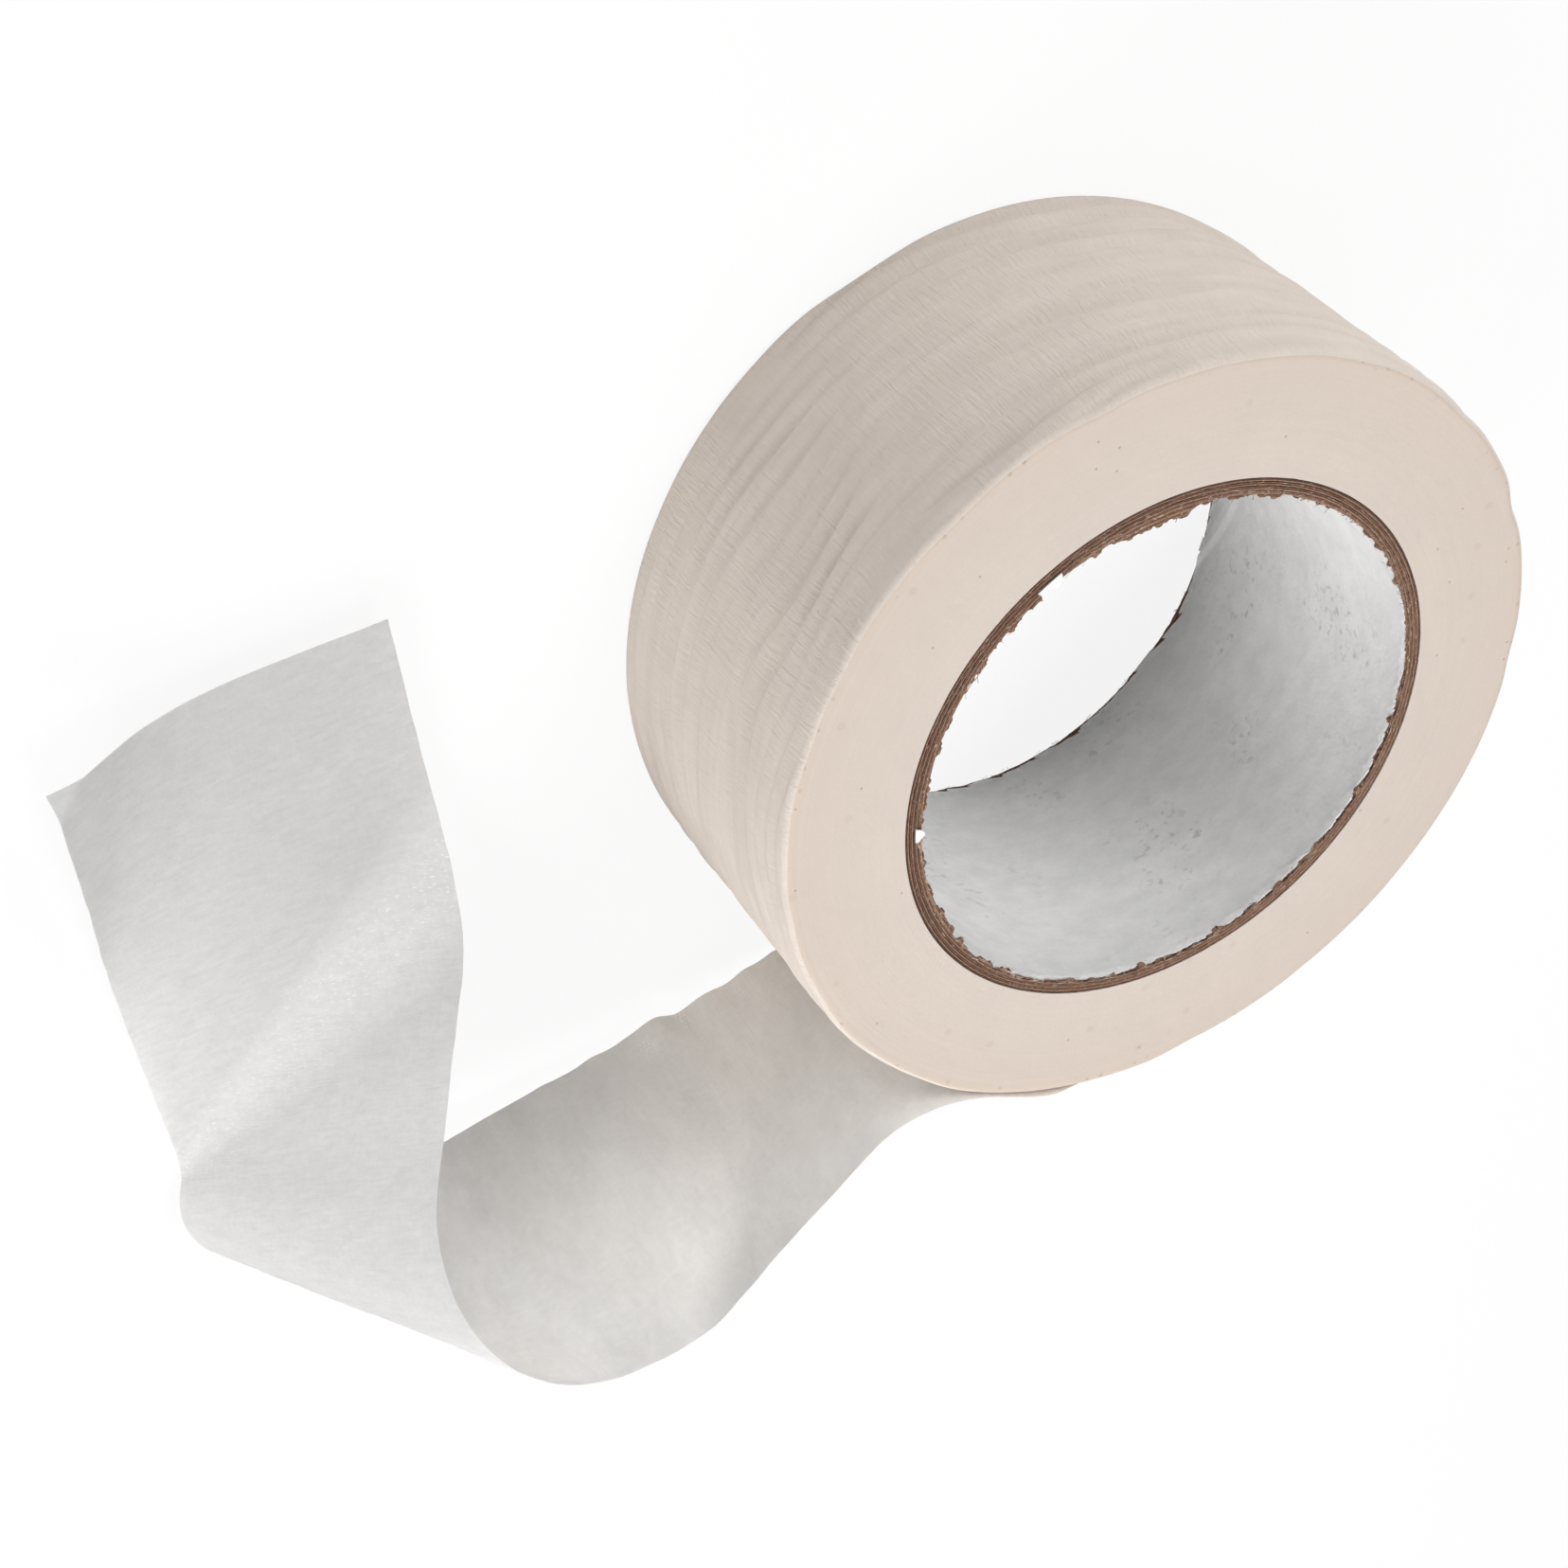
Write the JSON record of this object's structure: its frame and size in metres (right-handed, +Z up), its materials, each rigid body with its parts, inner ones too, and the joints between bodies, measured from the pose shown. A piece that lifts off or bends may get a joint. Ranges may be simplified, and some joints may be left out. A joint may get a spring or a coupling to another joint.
{
  "type": "masking tape roll",
  "caption": "Roll of pale crepe masking tape on a brown board core, lying on its side with a curled tail of tape pulled out.",
  "frame": {"origin": "centre of the core bore, half way across the tape width", "axes": "+Z up along the roll's axis, out of the upper side face; the roll rests on its lower side face; the tape leaves the roll towards +X and curls round on the +X side"},
  "size_m": [0.1956, 0.1342, 0.0528],
  "materials": {
    "liner_paper": "matt white paper with faint grey mottling",
    "core_board": "raw brown board, fibrous cut ends",
    "wound_tape": "matt cream crepe paper, ringed on its side faces",
    "tape_backing": "matt pale crepe paper, slightly see-through",
    "adhesive": "satin tacky rubber coat"
  },
  "bodies": {
    "root": {"core_liner": "liner_paper", "core_ply_1": "core_board", "core_ply_2": "core_board", "core_ply_3": "core_board", "core_ply_4": "core_board", "core_ply_5": "core_board", "core_ply_6": "core_board", "wound_tape": "wound_tape"},
    "lead": {"lead_backing": "tape_backing", "lead_adhesive": "adhesive"},
    "peel": {"peel_backing": "tape_backing", "peel_adhesive": "adhesive"},
    "run": {"run_backing": "tape_backing", "run_adhesive": "adhesive"},
    "curl_lower": {"curl_lower_backing": "tape_backing", "curl_lower_adhesive": "adhesive"},
    "curl_upper": {"curl_upper_backing": "tape_backing", "curl_upper_adhesive": "adhesive"},
    "rise": {"rise_backing": "tape_backing", "rise_adhesive": "adhesive"},
    "end": {"end_backing": "tape_backing", "end_adhesive": "adhesive"}
  },
  "joints": [
    {"name": "unwind", "type": "hinge", "parent": "root", "child": "lead", "pos_m": [0, 0, 0], "axis": [0, 0, 1], "range_deg": [0, 60]},
    {"name": "peel_lift", "type": "hinge", "parent": "lead", "child": "peel", "pos_m": [0.02271, 0.0535, 0], "axis": [0, 0, 1], "range_deg": [0, 30], "stiffness_Nm_per_rad": 0.02},
    {"name": "pay_out", "type": "slide", "parent": "peel", "child": "run", "axis": [0.916, 0.4012, 0], "range_m": [0, 0.0608]},
    {"name": "flex_1", "type": "hinge", "parent": "run", "child": "curl_lower", "pos_m": [0.07582, 0.07123, 0.00386], "axis": [0.0591, -0.1822, -0.9815], "range_deg": [-20, 20], "stiffness_Nm_per_rad": 0.02},
    {"name": "flex_2", "type": "hinge", "parent": "curl_lower", "child": "curl_upper", "pos_m": [0.11416, 0.0688, 0.00582], "axis": [0.5449, 0.1076, -0.8316], "range_deg": [-25, 25], "stiffness_Nm_per_rad": 0.02},
    {"name": "flex_3", "type": "hinge", "parent": "curl_upper", "child": "rise", "pos_m": [0.11279, 0.05036, -0.00935], "axis": [0.6746, 0.5513, -0.4909], "range_deg": [-20, 20], "stiffness_Nm_per_rad": 0.02},
    {"name": "flex_4", "type": "hinge", "parent": "rise", "child": "end", "pos_m": [0.10956, 0.02309, -0.02158], "axis": [0.5328, 0.8443, -0.0568], "range_deg": [-25, 25], "stiffness_Nm_per_rad": 0.02}
  ],
  "couplings": [
    {"joint": "pay_out", "follows": "unwind", "m_per_rad": 0.058}
  ]
}
